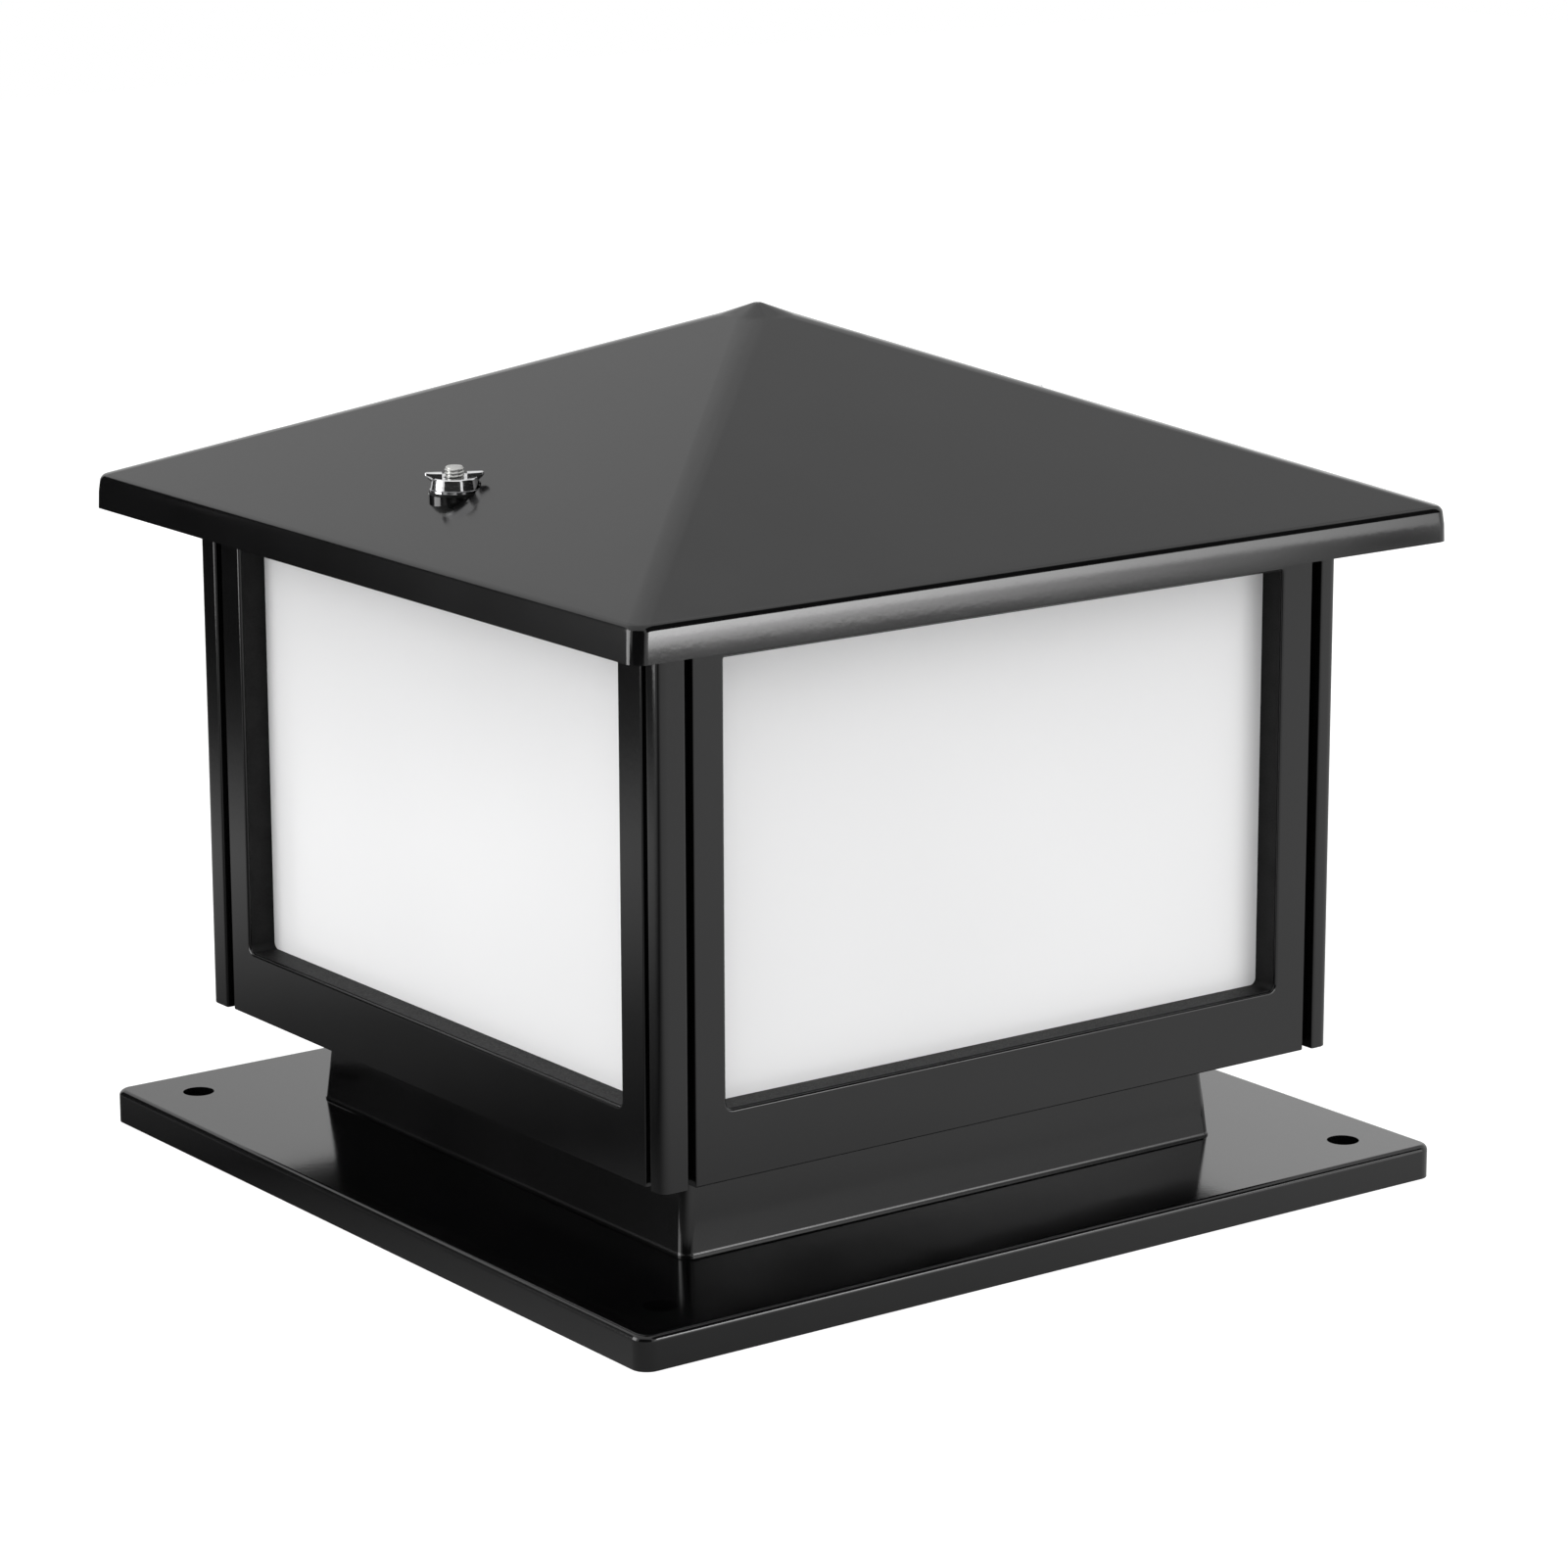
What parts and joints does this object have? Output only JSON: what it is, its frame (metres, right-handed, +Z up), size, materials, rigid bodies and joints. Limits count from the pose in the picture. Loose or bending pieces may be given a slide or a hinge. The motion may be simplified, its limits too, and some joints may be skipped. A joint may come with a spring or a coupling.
{
  "type": "pillar light",
  "caption": "Square pillar light with a lift-off pyramid roof held by wing nuts, opal side panels, a flared neck and a square base plate that bolts to a pillar.",
  "frame": {"origin": "middle of the base plate's underside", "axes": "+Z up through the roof's peak, -Y is the front"},
  "size_m": [0.3, 0.3, 0.2702],
  "materials": {
    "gloss_black": "gloss black paint on a die casting",
    "black_inner": "black paint, satin",
    "opal_panel": "opal white sheet, smooth",
    "zinc_steel": "zinc plated",
    "bright_nut": "bright plated",
    "black_rubber": "matt",
    "white_ceramic": "glazed white",
    "brass_parts": "bright",
    "lamp_cap_metal": "nickel plated",
    "lamp_white": "semi-gloss white",
    "lamp_opal": "opal white",
    "lamp_circuit": "white solder mask",
    "black_nylon": "moulded",
    "cream_block": "moulded",
    "brown_wire": "wire insulation",
    "blue_wire": "wire insulation",
    "earth_wire": "green wire insulation with a yellow stripe"
  },
  "bodies": {
    "housing": {"base_plate": "gloss_black", "base_screws": "zinc_steel", "bracket_screws": "zinc_steel", "clip_screws": "zinc_steel", "earth_lead": "earth_wire", "earth_screw": "zinc_steel", "earth_tag": "brass_parts", "floor_tray": "black_inner", "frame_front": "gloss_black", "frame_left": "gloss_black", "frame_rear": "gloss_black", "frame_right": "gloss_black", "frame_screws": "zinc_steel", "gland_body": "black_nylon", "gland_lock_ring": "black_nylon", "gland_nut": "black_nylon", "gland_seal": "black_rubber", "holder_bracket": "zinc_steel", "holder_contact": "brass_parts", "holder_screws": "zinc_steel", "holder_shell": "brass_parts", "lampholder_body": "white_ceramic", "live_lead": "brown_wire", "neck": "gloss_black", "neutral_lead": "blue_wire", "panel_clips": "zinc_steel", "panel_front": "opal_panel", "panel_left": "opal_panel", "panel_rear": "opal_panel", "panel_right": "opal_panel", "post_front_left": "gloss_black", "post_front_right": "gloss_black", "post_rear_left": "gloss_black", "post_rear_right": "gloss_black", "post_screws": "zinc_steel", "ring_screws": "zinc_steel", "roof_gasket": "black_rubber", "roof_studs": "zinc_steel", "stud_nuts": "zinc_steel", "terminal_block": "cream_block", "terminal_screws": "brass_parts", "terminal_sleeves": "brass_parts", "top_ring": "black_inner", "tray_screws": "zinc_steel"},
    "roof": {"roof_cap": "gloss_black", "stud_seals": "black_rubber"},
    "left_washer": {"left_washer": "bright_nut"},
    "left_nut": {"left_wing_nut": "bright_nut"},
    "right_washer": {"right_washer": "bright_nut"},
    "right_nut": {"right_wing_nut": "bright_nut"},
    "lamp_contact": {"lamp_tip": "brass_parts"},
    "lamp": {"lamp_cap": "lamp_cap_metal", "lamp_housing": "lamp_white", "lamp_board": "lamp_circuit", "lamp_globe": "lamp_opal"}
  },
  "joints": [
    {"name": "roof_lift", "type": "slide", "parent": "housing", "child": "roof", "axis": [0, 0, 1], "range_m": [0, 0.1]},
    {"name": "left_nut_rise", "type": "slide", "parent": "roof", "child": "left_washer", "axis": [0, 0, 1], "range_m": [0, 0.0065]},
    {"name": "left_nut_spin", "type": "hinge", "parent": "left_washer", "child": "left_nut", "pos_m": [-0.116, -0.008, 0.2262], "axis": [0, 0, 1], "range_deg": [0, 2341]},
    {"name": "right_nut_rise", "type": "slide", "parent": "roof", "child": "right_washer", "axis": [0, 0, 1], "range_m": [0, 0.0065]},
    {"name": "right_nut_spin", "type": "hinge", "parent": "right_washer", "child": "right_nut", "pos_m": [0.116, 0.008, 0.2262], "axis": [0, 0, 1], "range_deg": [0, 2341]},
    {"name": "lamp_rise", "type": "slide", "parent": "housing", "child": "lamp_contact", "axis": [0, 0, 1], "range_m": [0, 0.011]},
    {"name": "lamp_spin", "type": "hinge", "parent": "lamp_contact", "child": "lamp", "pos_m": [0, 0, 0.078], "axis": [0, 0, 1], "range_deg": [0, 1080]}
  ],
  "couplings": [
    {"joint": "left_nut_spin", "follows": "left_nut_rise", "rad_per_m": 6283.2},
    {"joint": "right_nut_spin", "follows": "right_nut_rise", "rad_per_m": 6283.2},
    {"joint": "lamp_rise", "follows": "lamp_spin", "m_per_rad": 0.00057751}
  ]
}
